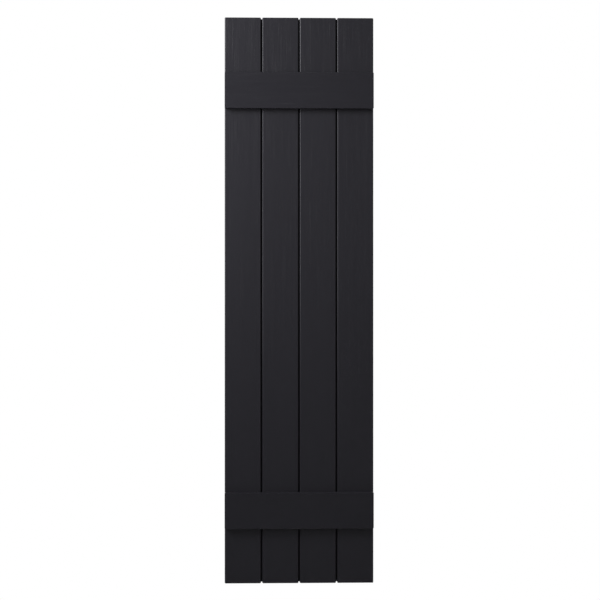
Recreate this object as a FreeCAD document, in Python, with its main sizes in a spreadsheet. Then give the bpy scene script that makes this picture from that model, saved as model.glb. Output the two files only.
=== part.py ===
import FreeCAD, Part
import os
import re
import Sketcher

# A moulded plastic board and batten shutter. Four boards stand side by side, each a tray that is open
# towards the wall, and two battens across the front hold them together.
# Millimetres. +Z is up, the front faces -Y, and the wall plane is y = 0. The origin is at the middle of
# the shutter's back. Angles are in degrees.

# Driving dimensions of the shutter
DIMENSIONS = {
    "board_count": 4,
    "board_width": 90,
    "board_height": 1397,
    "board_depth": 19,
    "joint_gap": 2.6,
    "shell_wall": 2.4,
    "draft_angle": 1,
    "corner_round": 2.6,
    "edge_round": 2.4,
    "lip_thickness": 2.4,
    "lip_overlap": 8,
    "lip_setback": 2,
    "rib_count": 11,
    "rib_thickness": 1.6,
    "rib_height": 11,
    "spine_height": 5,
    "batten_width": 90,
    "batten_depth": 12.5,
    "batten_inset": 136,
    "batten_edge_round": 1.2,
    "batten_rib_relief": 1,
    "screw_side": 24,
    "screw_rise": 20,
    "screw_hole": 4.5,
    "boss_diameter": 9,
    "pilot_hole": 3.2,
    "pilot_depth": 8,
}

# Boards from left to right, and battens with the side of mid-height that each one is on
BOARDS = ["left_board", "left_middle_board", "right_middle_board", "right_board"]
BATTENS = {"upper_batten": "+", "lower_batten": "-"}

# Lengths that follow from the driving dimensions
PITCH = "(board_width + joint_gap)"
SHUTTER_WIDTH = f"(board_count * {PITCH} - joint_gap)"
BATTEN_RISE = "(board_height / 2 - batten_inset - batten_width / 2)"
RIB_PITCH = "(board_height / (rib_count + 1))"

# Slack for telling edges and volumes apart
TOUCH = 1e-4

doc = FreeCAD.newDocument("Shutter")
sheet = doc.addObject("Spreadsheet::Sheet", "Dimensions")
for row, (alias, value) in enumerate(DIMENSIONS.items(), start=1):
    sheet.set(f"A{row}", alias)
    sheet.set(f"B{row}", str(value))
    sheet.setAlias(f"B{row}", alias)
doc.recompute()


def sized(expression):
    """Point every dimension named in an expression at its cell of the sheet."""
    names = "|".join(DIMENSIONS)
    return re.sub(rf"\b({names})\b", rf"{sheet.Name}.\1", expression)


def measure(expression):
    """Work out an expression's present value."""
    return float(sheet.evalExpression(sized(expression)))


def bind(thing, target, expression):
    """Tie a property of a document object to the sheet."""
    thing.setExpression(target, sized(expression))


def add_sketch(body, name, depth="0"):
    """Start a sketch parallel to the wall, at a depth in front of the body's own back plane."""
    sketch = body.newObject("Sketcher::SketchObject", name)
    plane = next(feature for feature in body.Origin.OriginFeatures if feature.Role == "XZ_Plane")
    sketch.AttachmentSupport = [(plane, "")]
    sketch.MapMode = "FlatFace"
    bind(sketch, "AttachmentOffset.Base.z", depth)
    return sketch


def place_point(sketch, geometry, point, across, up):
    """Hold a sketch point at bound distances from the sketch's origin."""
    for kind, expression in (("DistanceX", across), ("DistanceY", up)):
        distance = Sketcher.Constraint(kind, -1, 1, geometry, point, measure(expression))
        index = sketch.addConstraint(distance)
        bind(sketch, f"Constraints[{index}]", expression)


def draw_rectangle(sketch, left, right, bottom, top):
    """Draw a rectangle whose four sides are bound to the sheet."""
    low = FreeCAD.Vector(measure(left), measure(bottom), 0)
    high = FreeCAD.Vector(measure(right), measure(top), 0)
    corners = [low, FreeCAD.Vector(high.x, low.y, 0), high, FreeCAD.Vector(low.x, high.y, 0)]
    sides = [
        sketch.addGeometry(Part.LineSegment(start, end), False)
        for start, end in zip(corners, corners[1:] + corners[:1])
    ]
    for side, following in zip(sides, sides[1:] + sides[:1]):
        sketch.addConstraint(Sketcher.Constraint("Coincident", side, 2, following, 1))
    for side, direction in zip(sides, ("Horizontal", "Vertical", "Horizontal", "Vertical")):
        sketch.addConstraint(Sketcher.Constraint(direction, side))
    place_point(sketch, sides[0], 1, left, bottom)
    place_point(sketch, sides[2], 1, right, top)


def draw_centred_rectangle(sketch, width, height):
    """Draw a rectangle about the sketch's origin."""
    draw_rectangle(sketch, f"-{width} / 2", f"{width} / 2", f"-{height} / 2", f"{height} / 2")


def draw_circle(sketch, across, up, diameter):
    """Draw a circle with its centre and diameter bound to the sheet."""
    centre = FreeCAD.Vector(measure(across), measure(up), 0)
    round_hole = Part.Circle(centre, FreeCAD.Vector(0, 0, 1), measure(diameter) / 2)
    circle = sketch.addGeometry(round_hole, False)
    place_point(sketch, circle, 3, across, up)
    index = sketch.addConstraint(Sketcher.Constraint("Diameter", circle, measure(diameter)))
    bind(sketch, f"Constraints[{index}]", diameter)


def add_pad(body, name, sketch, length, towards_wall=False):
    """Pad a sketch away from the wall, or towards it."""
    pad = body.newObject("PartDesign::Pad", name)
    pad.Profile = sketch
    pad.Reversed = towards_wall
    bind(pad, "Length", length)
    doc.recompute()
    return pad


def add_pocket(body, name, sketch, length):
    """Cut a sketch into the solid, away from the wall."""
    before = body.Shape.Volume
    pocket = body.newObject("PartDesign::Pocket", name)
    pocket.Profile = sketch
    pocket.Reversed = True
    bind(pocket, "Length", length)
    doc.recompute()
    if body.Shape.Volume >= before:
        raise RuntimeError(f"{body.Label}: {name} cuts nothing")
    return pocket


def add_holes(body, name, sketch, diameter, depth):
    """Drill flat-bottomed holes into the solid at a sketch's circles, away from the wall."""
    before = body.Shape.Volume
    doc.recompute()
    holes = body.newObject("PartDesign::Hole", name)
    holes.Profile = sketch
    holes.Reversed = True
    holes.DrillPoint = "Flat"
    bind(holes, "Diameter", diameter)
    bind(holes, "Depth", depth)
    doc.recompute()
    if body.Shape.Volume >= before:
        raise RuntimeError(f"{body.Label}: {name} drills nothing")
    return holes


def add_row(body, name, feature, axis, length, count):
    """Repeat a feature in a straight row along one of its sketch's axes."""
    before = body.Shape.Volume
    pattern = body.newObject("PartDesign::LinearPattern", name)
    pattern.Originals = [feature]
    pattern.Direction = (feature.Profile[0], [axis])
    bind(pattern, "Length", length)
    bind(pattern, "Occurrences", count)
    body.Tip = pattern
    doc.recompute()
    if abs(body.Shape.Volume - before) < TOUCH:
        raise RuntimeError(f"{body.Label}: {name} repeats nothing")
    return pattern


def add_fillet(body, name, radius, chooses):
    """Round the edges of the solid that a test picks out by their bounding boxes."""
    base = body.Tip
    edges = [
        f"Edge{number}"
        for number, edge in enumerate(base.Shape.Edges, start=1)
        if chooses(edge.BoundBox)
    ]
    fillet = body.newObject("PartDesign::Fillet", name)
    fillet.Base = (base, edges)
    bind(fillet, "Radius", radius)
    doc.recompute()
    return fillet


def add_drafted_block(body, kind, name, width, height, depth):
    """Add or cut a block that stands out from the back plane and narrows by the mould's draft."""
    block = body.newObject(f"PartDesign::{kind}Wedge", name)
    narrowing = f"({depth}) * tan(draft_angle)"
    bind(block, "Ymin", f"-({depth})")
    block.Ymax = 0
    for axis, size in (("X", width), ("Z", height)):
        bind(block, f"{axis}min", f"{narrowing} - ({size}) / 2")
        bind(block, f"{axis}max", f"({size}) / 2 - {narrowing}")
        bind(block, f"{axis}2min", f"-({size}) / 2")
        bind(block, f"{axis}2max", f"({size}) / 2")
    doc.recompute()


def add_tray(body, width, height, depth, round_radius):
    """Mould a shallow tray that is open at its back plane, with drafted walls and eased edges."""
    add_drafted_block(body, "Additive", "Blank", width, height, depth)
    full_depth = measure(depth)
    add_fillet(body, "Corners", "corner_round", lambda box: box.YLength > full_depth - TOUCH)
    add_fillet(body, "FrontEdges", round_radius, lambda box: box.YMax < TOUCH - full_depth)
    inner_width = f"{width} - 2 * shell_wall"
    inner_height = f"{height} - 2 * shell_wall"
    add_drafted_block(body, "Subtractive", "Hollow", inner_width, inner_height, f"{depth} - shell_wall")


def add_board(index, label):
    """Make one upright board, with its lap lip on the right and its relief on the left."""
    body = doc.addObject("PartDesign::Body", label)
    add_tray(body, "board_width", "board_height", "board_depth", "edge_round")
    face_depth = "board_depth - shell_wall"

    rib_sketch = add_sketch(body, "LowestRib", face_depth)
    half_span = "(board_width - shell_wall) / 2"
    rib_middle = f"-(rib_count - 1) / 2 * {RIB_PITCH}"
    draw_rectangle(
        rib_sketch,
        f"-{half_span}",
        half_span,
        f"{rib_middle} - rib_thickness / 2",
        f"{rib_middle} + rib_thickness / 2",
    )
    rib = add_pad(body, "Rib", rib_sketch, "rib_height", towards_wall=True)
    add_row(body, "Ribs", rib, "V_Axis", f"(rib_count - 1) * {RIB_PITCH}", "rib_count")

    spine_sketch = add_sketch(body, "SpineLine", face_depth)
    draw_centred_rectangle(spine_sketch, "rib_thickness", "(board_height - shell_wall)")
    add_pad(body, "Spine", spine_sketch, "spine_height", towards_wall=True)

    hole_sketch = add_sketch(body, "HoleCircles")
    for side in ("-", "+"):
        up = f"-{BATTEN_RISE} {side} screw_rise"
        draw_circle(hole_sketch, f"{side}screw_side", up, "screw_hole")
    holes = add_holes(body, "LowerHoles", hole_sketch, "screw_hole", "board_depth")
    add_row(body, "Holes", holes, "V_Axis", f"2 * {BATTEN_RISE}", "2")

    half_lip = "(board_height / 2 - lip_setback)"
    if index < len(BOARDS) - 1:
        lip_sketch = add_sketch(body, "LipOutline")
        lip_reach = "board_width / 2 + joint_gap + lip_overlap"
        draw_rectangle(lip_sketch, half_span, lip_reach, f"-{half_lip}", half_lip)
        add_pad(body, "Lip", lip_sketch, "lip_thickness")
    if index > 0:
        relief_sketch = add_sketch(body, "ReliefOutline")
        inner_side = "-board_width / 2 + lip_overlap"
        draw_rectangle(relief_sketch, "-board_width / 2 - joint_gap", inner_side, f"-{half_lip}", half_lip)
        add_pocket(body, "Relief", relief_sketch, "lip_thickness")

    bind(body, "Placement.Base.x", f"({index} - (board_count - 1) / 2) * {PITCH}")
    return body


def add_batten(label, side):
    """Make one batten, seated on the boards' faces."""
    body = doc.addObject("PartDesign::Body", label)
    add_tray(body, SHUTTER_WIDTH, "batten_width", "batten_depth", "batten_edge_round")
    face_depth = "batten_depth - shell_wall"

    rib_sketch = add_sketch(body, "LeftRib", face_depth)
    rib_middle = f"-(board_count - 2) / 2 * {PITCH}"
    half_span = "(batten_width - shell_wall) / 2"
    draw_rectangle(
        rib_sketch,
        f"{rib_middle} - rib_thickness / 2",
        f"{rib_middle} + rib_thickness / 2",
        f"-{half_span}",
        half_span,
    )
    rib = add_pad(body, "Rib", rib_sketch, f"{face_depth} - batten_rib_relief", towards_wall=True)
    add_row(body, "Ribs", rib, "H_Axis", f"(board_count - 2) * {PITCH}", "board_count - 1")

    boss_sketch = add_sketch(body, "BossCircles", face_depth)
    pilot_sketch = add_sketch(body, "PilotCircles")
    for sign in ("-", "+"):
        across = f"-(board_count - 1) / 2 * {PITCH} {sign} screw_side"
        up = f"{sign}screw_rise"
        draw_circle(boss_sketch, across, up, "boss_diameter")
        draw_circle(pilot_sketch, across, up, "pilot_hole")
    row_length = f"(board_count - 1) * {PITCH}"
    bosses = add_pad(body, "LeftBosses", boss_sketch, face_depth, towards_wall=True)
    add_row(body, "Bosses", bosses, "H_Axis", row_length, "board_count")
    pilots = add_holes(body, "LeftPilots", pilot_sketch, "pilot_hole", "pilot_depth")
    add_row(body, "Pilots", pilots, "H_Axis", row_length, "board_count")

    bind(body, "Placement.Base.y", "-board_depth")
    bind(body, "Placement.Base.z", f"{side}{BATTEN_RISE}")
    return body


bodies = [add_board(index, label) for index, label in enumerate(BOARDS)]
bodies += [add_batten(label, side) for label, side in BATTENS.items()]
doc.recompute()

for thing in doc.Objects:
    if "Invalid" in thing.State or "Error" in thing.State:
        raise RuntimeError(f"{thing.Label} failed: {thing.State}")

os.makedirs("parts", exist_ok=True)
for body in bodies:
    if body.Shape.isNull() or not body.Shape.isValid():
        raise RuntimeError(f"{body.Label} has no valid shape")
    body.Shape.exportStep(f"parts/{body.Label}.step")
    box = body.Shape.BoundBox
    print(
        f"{body.Label}: {len(body.Shape.Solids)} solid, {body.Shape.Volume / 1000:.1f} cm3, "
        f"x {box.XMin:.2f} to {box.XMax:.2f}, y {box.YMin:.2f} to {box.YMax:.2f}, "
        f"z {box.ZMin:.2f} to {box.ZMax:.2f}"
    )
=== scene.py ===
# %% [markdown]
# # A board and batten shutter
# A fixed exterior shutter of black moulded plastic: upright boards side by side, with a batten across them
# near the top and the bottom. The imported model already holds the boards and battens at their real size,
# so this lesson adds what a model of sizes can't say: the finish, the screws, the light and the camera.
# The first cell loads that model and keeps its box.

# %% Load the imported model
import math

import bmesh
import bpy
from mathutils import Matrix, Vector


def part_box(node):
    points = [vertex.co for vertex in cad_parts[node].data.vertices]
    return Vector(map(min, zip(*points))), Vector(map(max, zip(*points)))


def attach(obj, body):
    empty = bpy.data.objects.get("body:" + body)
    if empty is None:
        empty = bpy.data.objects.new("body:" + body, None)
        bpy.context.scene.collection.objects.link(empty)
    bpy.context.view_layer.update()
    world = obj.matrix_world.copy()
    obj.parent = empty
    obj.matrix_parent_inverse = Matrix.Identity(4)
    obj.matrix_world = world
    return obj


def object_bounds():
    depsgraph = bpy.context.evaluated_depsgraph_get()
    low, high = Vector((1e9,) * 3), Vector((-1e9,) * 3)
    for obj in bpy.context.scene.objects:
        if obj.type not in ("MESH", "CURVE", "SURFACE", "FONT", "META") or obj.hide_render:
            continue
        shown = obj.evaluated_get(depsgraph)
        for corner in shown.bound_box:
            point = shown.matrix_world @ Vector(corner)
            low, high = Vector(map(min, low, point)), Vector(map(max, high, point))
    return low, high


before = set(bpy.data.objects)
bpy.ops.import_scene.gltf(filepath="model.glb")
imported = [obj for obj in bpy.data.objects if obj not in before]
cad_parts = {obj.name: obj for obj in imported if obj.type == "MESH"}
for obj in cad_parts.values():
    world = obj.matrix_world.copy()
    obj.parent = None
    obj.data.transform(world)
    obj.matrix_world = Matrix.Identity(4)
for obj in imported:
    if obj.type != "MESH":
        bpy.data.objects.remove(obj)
cad_low, cad_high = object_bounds()
shutter_size = cad_high - cad_low
BOARDS = ["left_board", "left_middle_board", "right_middle_board", "right_board"]
BATTENS = ["upper_batten", "lower_batten"]
print("shutter in metres:", [round(side, 4) for side in shutter_size])

# %% [markdown]
# ## The camera
# The photograph looks straight at the front from a few metres away. The shutter's left edge is a little
# taller in it than the right one, so the camera stands slightly to the left. It could be placed by eye, but
# how tall the shutter is in the picture and where its middle falls are enough to work out the lens. The
# Standard view shows colours as they are written.

# %% Camera
FRAME_PIXELS = 600
SHUTTER_TALL_PIXELS = 565.9
SHUTTER_MIDDLE_PIXEL = (299.15, 300.43)
CAMERA_DISTANCE = 4.0
CAMERA_TO_THE_LEFT = math.radians(1.77)
SENSOR_MM = 36

board_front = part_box("left_board")[0].y
pixel = shutter_size.z / SHUTTER_TALL_PIXELS
looked_at = Vector((
    (FRAME_PIXELS / 2 - SHUTTER_MIDDLE_PIXEL[0]) * pixel,
    board_front,
    (SHUTTER_MIDDLE_PIXEL[1] - FRAME_PIXELS / 2) * pixel,
))
away = Vector((-math.sin(CAMERA_TO_THE_LEFT), -math.cos(CAMERA_TO_THE_LEFT), 0))
bpy.ops.object.camera_add(
    location=looked_at + CAMERA_DISTANCE * away,
    rotation=(math.pi / 2, 0, -CAMERA_TO_THE_LEFT),
)
camera = bpy.context.object
camera.name = "photo_camera"
camera.data.sensor_width = SENSOR_MM
camera.data.lens = SENSOR_MM * CAMERA_DISTANCE / (FRAME_PIXELS * pixel)
bpy.context.scene.camera = camera
bpy.context.scene.view_settings.view_transform = "Standard"
print("lens in mm:", round(camera.data.lens, 2))

# %% [markdown]
# ## Nodes in few words
# Materials are node trees. One helper adds a node, sets its options and fills its inputs: an input takes
# either a plain value or the output of another node, which it then links. The other helpers make what is
# needed most, so that each material below reads as a short list of what it is made of.

# %% Node helpers
def add_node(tree, kind, inputs=None, **options):
    """Add a node to a tree; inputs are values or the sockets to link from."""
    node = tree.nodes.new(kind)
    for option, value in options.items():
        setattr(node, option, value)
    for socket, value in (inputs or {}).items():
        if isinstance(value, bpy.types.NodeSocket):
            tree.links.new(value, node.inputs[socket])
        else:
            node.inputs[socket].default_value = value
    return node


def map_range(tree, value, source, target, smooth=False):
    """Carry a value from one range to another, held at the ends."""
    # The node's first five inputs are the value and the low and high end of each range
    inputs = dict(enumerate((value, *source, *target)))
    kind = "SMOOTHSTEP" if smooth else "LINEAR"
    return add_node(tree, "ShaderNodeMapRange", inputs, interpolation_type=kind).outputs[0]


def mix_values(tree, share, first, second):
    """Go from a first value to a second by a share."""
    # Inputs 2 and 3 of a Mix node are its plain values, 6 and 7 its colours
    return add_node(tree, "ShaderNodeMix", {0: share, 2: first, 3: second}).outputs[0]


def mix_colours(tree, share, first, second):
    """Go from a first colour to a second by a share."""
    inputs = {0: share, 6: first, 7: second}
    return add_node(tree, "ShaderNodeMix", inputs, data_type="RGBA").outputs[2]


def new_material(name):
    """Make a material, and give back its tree and its shader as well."""
    material = bpy.data.materials.new(name)
    material.use_nodes = True
    return material, material.node_tree, material.node_tree.nodes["Principled BSDF"]


print("helpers: add_node, map_range, mix_values, mix_colours, new_material")

# %% [markdown]
# ## A white studio
# The shutter is shown on plain white. A backdrop would have edges from some side, so the world itself is
# white at a strength of 1, which renders as white and lights the object at a plain level.

# %% World
WHITE = (1, 1, 1, 1)

world = bpy.data.worlds.new("studio")
bpy.context.scene.world = world
world.use_nodes = True
world.node_tree.nodes["Background"].inputs["Color"].default_value = WHITE
print("world: white all round")

# %% [markdown]
# ## A grey net in front
# A black face mirrors what stands before it, and in a white room it would look grey. A dimmer world would
# cure that and spoil the white background, so a dark net hangs between the white and the front, as in a
# photographer's studio. It is a sphere round the shutter that lets through only a share of the white in
# front, less from below than from above, and all of it behind. The camera doesn't see it, so every side
# of the shutter is seen on white.

# %% Grey net
NET_REACH = 6.0
NET_SEGMENTS = 96
NET_RINGS = 48
SHARE_IN_FRONT = (0.12, 0.29)
# Heights and depths on the net, as parts of its reach from the middle
SHARE_HEIGHTS = (-0.4, 0.6)
CLEARING_DEPTHS = (0.0, 0.35)

bpy.ops.object.select_all(action="DESELECT")
bpy.ops.mesh.primitive_uv_sphere_add(segments=NET_SEGMENTS, ring_count=NET_RINGS, radius=NET_REACH)
net = bpy.context.object
net.name = "grey_net"
gauze, tree, shader = new_material("grey_gauze")
place = add_node(tree, "ShaderNodeTexCoord").outputs["Object"]
direction = add_node(tree, "ShaderNodeVectorMath", {0: place}, operation="NORMALIZE").outputs["Vector"]
sides = add_node(tree, "ShaderNodeSeparateXYZ", {0: direction}).outputs
in_front = map_range(tree, sides["Z"], SHARE_HEIGHTS, SHARE_IN_FRONT, smooth=True)
behind = map_range(tree, sides["Y"], CLEARING_DEPTHS, (0.0, 1.0), smooth=True)
let_through = mix_values(tree, behind, in_front, 1.0)
veil = add_node(tree, "ShaderNodeBsdfTransparent", {"Color": let_through}).outputs[0]
tree.links.new(veil, tree.nodes["Material Output"].inputs["Surface"])
tree.nodes.remove(shader)
net.data.materials.append(gauze)
net.visible_camera = False
print("share of the white in front, low and high:", SHARE_IN_FRONT)

# %% [markdown]
# ## The floor
# The shutter hangs on a wall, so it needs no floor to stand on. A large plane would end in a straight
# horizon, so a pale disc lies well below it, under the photograph's frame, and fades out towards its rim.
# Seen from below it is clear, so that it doesn't hide the shutter's lower ends.

# %% Floor
FLOOR_BELOW = 1.4
FLOOR_REACH = 2.8
FLOOR_FADE_FROM = 1.0
FLOOR_CORNERS = 96
FLOOR_COLOUR = (0.8, 0.8, 0.8, 1)
FLOOR_ROUGHNESS = 0.9

bpy.ops.object.select_all(action="DESELECT")
bpy.ops.mesh.primitive_circle_add(
    vertices=FLOOR_CORNERS,
    radius=FLOOR_REACH,
    fill_type="NGON",
    location=(0, 0, cad_low.z - FLOOR_BELOW),
)
floor = bpy.context.object
floor.name = "floor"
paint, tree, shader = new_material("pale_floor")
place = add_node(tree, "ShaderNodeTexCoord").outputs["Object"]
reach = add_node(tree, "ShaderNodeVectorMath", {0: place}, operation="LENGTH").outputs["Value"]
fade = map_range(tree, reach, (FLOOR_FADE_FROM, FLOOR_REACH), (1.0, 0.0), smooth=True)
shader.inputs["Base Color"].default_value = FLOOR_COLOUR
shader.inputs["Roughness"].default_value = FLOOR_ROUGHNESS
underside = add_node(tree, "ShaderNodeNewGeometry").outputs["Backfacing"]
tree.links.new(mix_values(tree, underside, fade, 0.0), shader.inputs["Alpha"])
floor.data.materials.append(paint)
print("floor at", round(floor.location.z, 3))

# %% [markdown]
# ## Softboxes
# In the photograph the shadows under the battens are short and soft, and the face grows darker towards the
# bottom right. So the light stands near, to the upper left: a tall softbox beside the upper boards, and a
# small weak one lower down that keeps the bottom from going quite dark. A lamp further away would light
# all of the front alike.

# %% Softboxes
UPPER_LIGHT = {"place": (-1.3, -0.8, 1.1), "aim": (-0.1, 0, 0.5), "size": (0.5, 0.8), "watts": 11.0}
LOWER_LIGHT = {"place": (-1.3, -0.8, 0.2), "aim": (-0.1, 0, 0.2), "size": (0.5, 0.5), "watts": 2.2}
LAMP_SPREAD = math.radians(120)
LAMP_COLOUR = (0.97, 0.97, 1.0)


def add_softbox(name, place, aim, size, watts):
    """Add a rectangular lamp, so wide and so tall, that points at a place on the shutter."""
    turn = (Vector(aim) - Vector(place)).to_track_quat("-Z", "Y").to_euler()
    bpy.ops.object.light_add(type="AREA", location=place, rotation=turn)
    lamp = bpy.context.object
    lamp.name = name
    lamp.data.shape = "RECTANGLE"
    lamp.data.size, lamp.data.size_y = size
    lamp.data.spread = LAMP_SPREAD
    lamp.data.energy = watts
    lamp.data.color = LAMP_COLOUR
    print(name, "gives", watts, "W")


add_softbox("upper_light", **UPPER_LIGHT)
add_softbox("lower_light", **LOWER_LIGHT)

# %% [markdown]
# ## The moulded wood grain
# The mould presses a fine wood grain into the front of each piece. It could be an image, but noise that is
# stretched along the grain never repeats and needs no picture. Three layers make its height: long streaks,
# short pores and fine fibres, which come and go in patches. All of them sway slowly sideways, as wood does.
# Each layer below says how many features it has to a metre across and along the grain, and its detail.

# %% Grain height
SWAY = (9, 2.2, 1)
SWAY_REACH = (-0.002, 0.002)
STREAKS = (240, 2.5, 3)
STREAK_DEPTH = 0.00006
PORES = (900, 28, 1)
PORE_RIM = (0.6, 0.7)
PORE_DEPTH = 0.00003
FIBRES = (2800, 4.5, 2)
FIBRE_DEPTH = 0.00026
PATCHES = (1000, 18, 2)
PATCH_RIM = (0.4, 0.6)
PATCH_STRENGTH = (0.65, 1.0)
NOISE_MIDDLE = 0.5


def grain_noise(tree, vector, across, along, detail):
    """Noise with so many features to a metre across and along the grain."""
    scaled = add_node(tree, "ShaderNodeMapping", {"Vector": vector, "Scale": (across, across, along)})
    inputs = {"Vector": scaled.outputs[0], "Scale": 1, "Detail": detail}
    return add_node(tree, "ShaderNodeTexNoise", inputs).outputs[0]


def grain_height(tree, grain):
    """Add up the layers of the grain, in metres, and give back the streaks as well."""
    offset = map_range(tree, grain_noise(tree, grain, *SWAY), (0, 1), SWAY_REACH)
    sideways = add_node(tree, "ShaderNodeCombineXYZ", {"X": offset}).outputs[0]
    swayed = add_node(tree, "ShaderNodeVectorMath", {0: grain, 1: sideways}).outputs[0]
    streaks = grain_noise(tree, swayed, *STREAKS)
    pores = map_range(tree, grain_noise(tree, swayed, *PORES), PORE_RIM, (1, 0), smooth=True)
    patches = map_range(tree, grain_noise(tree, swayed, *PATCHES), PATCH_RIM, PATCH_STRENGTH, smooth=True)
    fibres = mix_values(tree, patches, NOISE_MIDDLE, grain_noise(tree, swayed, *FIBRES))
    height = 0.0
    for layer, depth in ((streaks, STREAK_DEPTH), (pores, PORE_DEPTH), (fibres, FIBRE_DEPTH)):
        inputs = {0: layer, 1: depth, 2: height}
        height = add_node(tree, "ShaderNodeMath", inputs, operation="MULTIPLY_ADD").outputs[0]
    return height, streaks


print("fibres to a metre across the grain:", FIBRES[0])

# %% [markdown]
# ## Black plastic
# The mouldings are black polypropylene right through. The grain belongs to the front alone, so its bump
# fades out where the surface turns away from the front. The back comes off a plain mould half: it is a
# little smoother, with only the fine frosted finish that lies over everything. The grain runs up the boards
# and along the battens, so one function makes both and only turns and shifts the pattern.

# %% Black plastic
BLACK = (0.0188, 0.0177, 0.0240, 1)
BLACK_GREYED = (0.0219, 0.0207, 0.0278, 1)
CLOUD = (14, 3, 2)
FROST = (1500, 1500, 2)
FROST_DEPTH = 0.00005
FRONT_FACING = (-0.98, -0.85)
USUAL_NOISE = (0.3, 0.7)
BACK_ROUGHNESS = (0.27, 0.36)


def grained_plastic(name, along_x, shift, front_roughness):
    """Make black plastic with its grain along Z, or along X."""
    material, tree, shader = new_material(name)
    coordinates = add_node(tree, "ShaderNodeTexCoord").outputs
    turn = (0, math.pi / 2 if along_x else 0, 0)
    inputs = {"Vector": coordinates["Object"], "Rotation": turn, "Location": shift}
    grain = add_node(tree, "ShaderNodeMapping", inputs).outputs[0]
    height, streaks = grain_height(tree, grain)
    facing = add_node(tree, "ShaderNodeSeparateXYZ", {0: coordinates["Normal"]}).outputs["Y"]
    on_front = map_range(tree, facing, FRONT_FACING, (1, 0), smooth=True)

    inputs = {"Strength": on_front, "Distance": 1.0, "Height": height}
    grained = add_node(tree, "ShaderNodeBump", inputs).outputs[0]
    inputs = {"Distance": FROST_DEPTH, "Height": grain_noise(tree, grain, *FROST), "Normal": grained}
    frosted = add_node(tree, "ShaderNodeBump", inputs).outputs[0]

    cloud = grain_noise(tree, grain, *CLOUD)
    front_rough = map_range(tree, streaks, USUAL_NOISE, front_roughness)
    back_rough = map_range(tree, cloud, USUAL_NOISE, BACK_ROUGHNESS)
    roughness = mix_values(tree, on_front, back_rough, front_rough)
    tree.links.new(mix_colours(tree, cloud, BLACK, BLACK_GREYED), shader.inputs["Base Color"])
    tree.links.new(roughness, shader.inputs["Roughness"])
    tree.links.new(frosted, shader.inputs["Normal"])
    return material


print("frost features to a metre:", FROST[0])

# %% [markdown]
# ## Plastic on the mouldings
# Each moulding gets a material of its own, with the pattern shifted, so that no two neighbours show the
# same grain. In the photograph the battens mirror a little less of the light from the side than the boards
# do, so their finish is slightly smoother.

# %% Plastic on the mouldings
BOARD_SHIFT = Vector((0.37, 0, 1.9))
BOARD_ROUGHNESS = (0.41, 0.47)
BATTEN_SHIFT = Vector((0.53, 0, 2.3))
BATTEN_ROUGHNESS = (0.36, 0.42)


def dress(names, along_x, shift, front_roughness):
    """Give each moulding its own grained plastic."""
    for number, name in enumerate(names):
        plastic = grained_plastic(f"{name}_plastic", along_x, number * shift, front_roughness)
        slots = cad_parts[name].data.materials
        slots.clear()
        slots.append(plastic)
        print(name, "has its grain along", "X" if along_x else "Z")


dress(BOARDS, False, BOARD_SHIFT, BOARD_ROUGHNESS)
dress(BATTENS, True, BATTEN_SHIFT, BATTEN_ROUGHNESS)

# %% [markdown]
# ## The screw's head and shank
# Behind each crossing two screws hold the batten: they go through the hollow back of a board into the
# bosses of the batten. A screw could be spun from a profile, but a cylinder already has the head's outline:
# its rim is bevelled, and its underside is inset and drawn out into the shank and its tip. It points down
# while it is made. The thread is hidden in the boss, so the shank is left plain.

# %% Head and shank
HEAD_RADIUS = 0.004
HEAD_TALL = 0.0026
HEAD_ROUND = 0.0014
HEAD_CORNERS = 40
HEAD_ROUND_STEPS = 5
SHANK_RADIUS = 0.0015
SHANK_LONG = 0.0080
TIP_LONG = 0.0018
TIP_SHARE = 0.45
NEARLY_UPRIGHT = 0.9


def select_faces(towards):
    """In edit mode, select just the faces that look up (1) or down (-1)."""
    mesh = bpy.context.object.data
    shape = bmesh.from_edit_mesh(mesh)
    bpy.ops.mesh.select_all(action="DESELECT")
    for face in shape.faces:
        if towards * face.normal.z > NEARLY_UPRIGHT:
            face.select_set(True)
    bmesh.update_edit_mesh(mesh)


bpy.ops.object.select_all(action="DESELECT")
bpy.ops.mesh.primitive_cylinder_add(
    vertices=HEAD_CORNERS, radius=HEAD_RADIUS, depth=HEAD_TALL, location=(0, 0, HEAD_TALL / 2)
)
screw = bpy.context.object
bpy.ops.object.transform_apply(location=True)
bpy.ops.object.mode_set(mode="EDIT")
bpy.ops.mesh.select_mode(type="FACE")
select_faces(1)
bpy.ops.mesh.bevel(offset=HEAD_ROUND, segments=HEAD_ROUND_STEPS)
select_faces(-1)
bpy.ops.mesh.inset(thickness=HEAD_RADIUS - SHANK_RADIUS)
bpy.ops.mesh.extrude_region_move(TRANSFORM_OT_translate={"value": (0, 0, -SHANK_LONG)})
bpy.ops.mesh.extrude_region_move(TRANSFORM_OT_translate={"value": (0, 0, -TIP_LONG)})
bpy.ops.transform.resize(value=(TIP_SHARE, TIP_SHARE, 1))
bpy.ops.object.mode_set(mode="OBJECT")
print("screw faces before its recess:", len(screw.data.polygons))

# %% [markdown]
# ## The cross recess
# A driver's cross is two flat blades at a right angle that narrow downwards. Each blade is a thin block
# whose lower face is scaled in, and a Boolean modifier takes it out of the head. It leaves its faces in a
# different order on each run, so they are sorted by how far they are from a point off to one side. The faces
# of the head are then shaded smooth, up to the angle at which a real edge begins.

# %% Cross recess
RECESS_WIDE = 0.0044
RECESS_THICK = 0.0010
RECESS_DEEP = 0.0019
RECESS_TAPER = 0.5
SORTED_FROM = (0.011, 0.017, 0.023)
SMOOTH_BELOW = math.radians(35)


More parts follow.
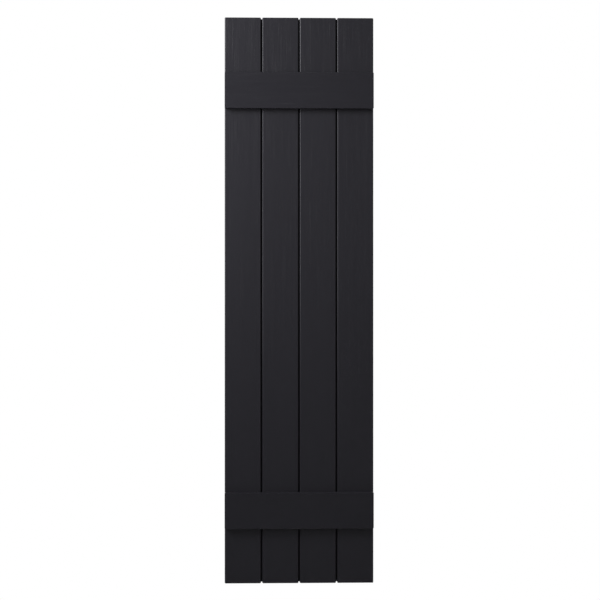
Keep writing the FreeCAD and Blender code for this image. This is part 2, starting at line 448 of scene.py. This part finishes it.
def add_blade(turn):
    """Add the tapered blade of a cross recess, its top above the head."""
    bpy.ops.object.select_all(action="DESELECT")
    bpy.ops.mesh.primitive_cube_add(size=1, location=(0, 0, HEAD_TALL))
    blade = bpy.context.object
    blade.scale = (RECESS_WIDE, RECESS_THICK, 2 * RECESS_DEEP)
    blade.rotation_euler = (0, 0, turn)
    bpy.ops.object.transform_apply(location=True, rotation=True, scale=True)
    bpy.ops.object.mode_set(mode="EDIT")
    select_faces(-1)
    bpy.ops.transform.resize(value=(RECESS_TAPER, RECESS_TAPER, 1))
    bpy.ops.object.mode_set(mode="OBJECT")
    return blade


def choose(piece):
    """Make one object the only selected one, and the active one."""
    bpy.ops.object.select_all(action="DESELECT")
    bpy.context.view_layer.objects.active = piece
    piece.select_set(True)


for turn in (0, math.pi / 2):
    blade = add_blade(turn)
    choose(screw)
    cut = screw.modifiers.new("recess", "BOOLEAN")
    cut.object = blade
    cut.operation = "DIFFERENCE"
    bpy.ops.object.modifier_apply(modifier=cut.name)
    bpy.data.objects.remove(blade)
bpy.context.scene.cursor.location = SORTED_FROM
bpy.ops.object.mode_set(mode="EDIT")
bpy.ops.mesh.select_all(action="SELECT")
bpy.ops.mesh.sort_elements(type="CURSOR_DISTANCE", elements={"VERT", "EDGE", "FACE"})
bpy.ops.object.mode_set(mode="OBJECT")
bpy.ops.object.shade_smooth_by_angle(angle=SMOOTH_BELOW)
print("screw faces:", len(screw.data.polygons))

# %% [markdown]
# ## Zinc-plated steel
# The screws are steel with a thin satin coat of zinc, which is never quite even, and one flat grey would
# look like paint. One noise mottles its colour, its roughness and its surface together, so that the dull
# places are also the rough ones.

# %% Zinc-plated steel
ZINC = (0.60, 0.61, 0.63, 1)
ZINC_DULLED = (0.42, 0.42, 0.42, 1)
ZINC_BUMP = 0.00004
ZINC_MOTTLE = {"Scale": 900, "Detail": 3}
MOTTLE_RANGE = (0.35, 0.65)
ZINC_ROUGHNESS = (0.28, 0.45)


def zinc_steel():
    """Make satin zinc-plated steel, slightly mottled."""
    material, tree, shader = new_material("zinc_steel")
    place = add_node(tree, "ShaderNodeTexCoord").outputs["Object"]
    mottle = add_node(tree, "ShaderNodeTexNoise", {"Vector": place, **ZINC_MOTTLE}).outputs[0]
    bump = add_node(tree, "ShaderNodeBump", {"Distance": ZINC_BUMP, "Height": mottle}).outputs[0]
    shader.inputs["Metallic"].default_value = 1.0
    tree.links.new(mix_colours(tree, mottle, ZINC, ZINC_DULLED), shader.inputs["Base Color"])
    tree.links.new(map_range(tree, mottle, MOTTLE_RANGE, ZINC_ROUGHNESS), shader.inputs["Roughness"])
    tree.links.new(bump, shader.inputs["Normal"])
    return material


screw.data.materials.append(zinc_steel())
print("screw material:", screw.data.materials[0].name)

# %% [markdown]
# ## Screws in place
# Two screws sit at each crossing of a board and a batten, one low on the left and one high on the right,
# seated on the inside of the board's front wall. An array would need its spacing written down again, so the
# places come from the boards and battens themselves. The screw is copied, laid on its side with its head to
# the back, and turned a different way each time, as driven screws are. Its place is then applied, so that
# it lies in its mesh. A board's lap lip is on its right, so its middle is found from its left edge.

# %% Screws in place
BOARD_WIDTH = 0.090
BOARD_WALL = 0.0024
SCREW_SIDE = 0.024
SCREW_RISE = 0.020
TURN_BETWEEN = math.radians(137)

seat = board_front + BOARD_WALL


def place_screw(name, place, turn):
    """Copy the screw to its seat, with its head to the back and its recess turned."""
    choose(screw)
    bpy.ops.object.duplicate()
    copy = bpy.context.object
    copy.name = name
    copy.location = place
    copy.rotation_euler = (-math.pi / 2, turn, 0)
    bpy.ops.object.transform_apply(location=True, rotation=True, scale=True)
    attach(copy, "root")


count = 0
for batten in BATTENS:
    batten_low, batten_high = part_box(batten)
    for board in BOARDS:
        board_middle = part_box(board)[0].x + BOARD_WIDTH / 2
        for side in (-1, 1):
            count += 1
            x = board_middle + side * SCREW_SIDE
            z = (batten_low.z + batten_high.z) / 2 + side * SCREW_RISE
            place_screw(f"screw_{count:02d}", (x, seat, z), count * TURN_BETWEEN)
bpy.data.objects.remove(screw)
print("screws:", count, "seated at", round(seat, 4))
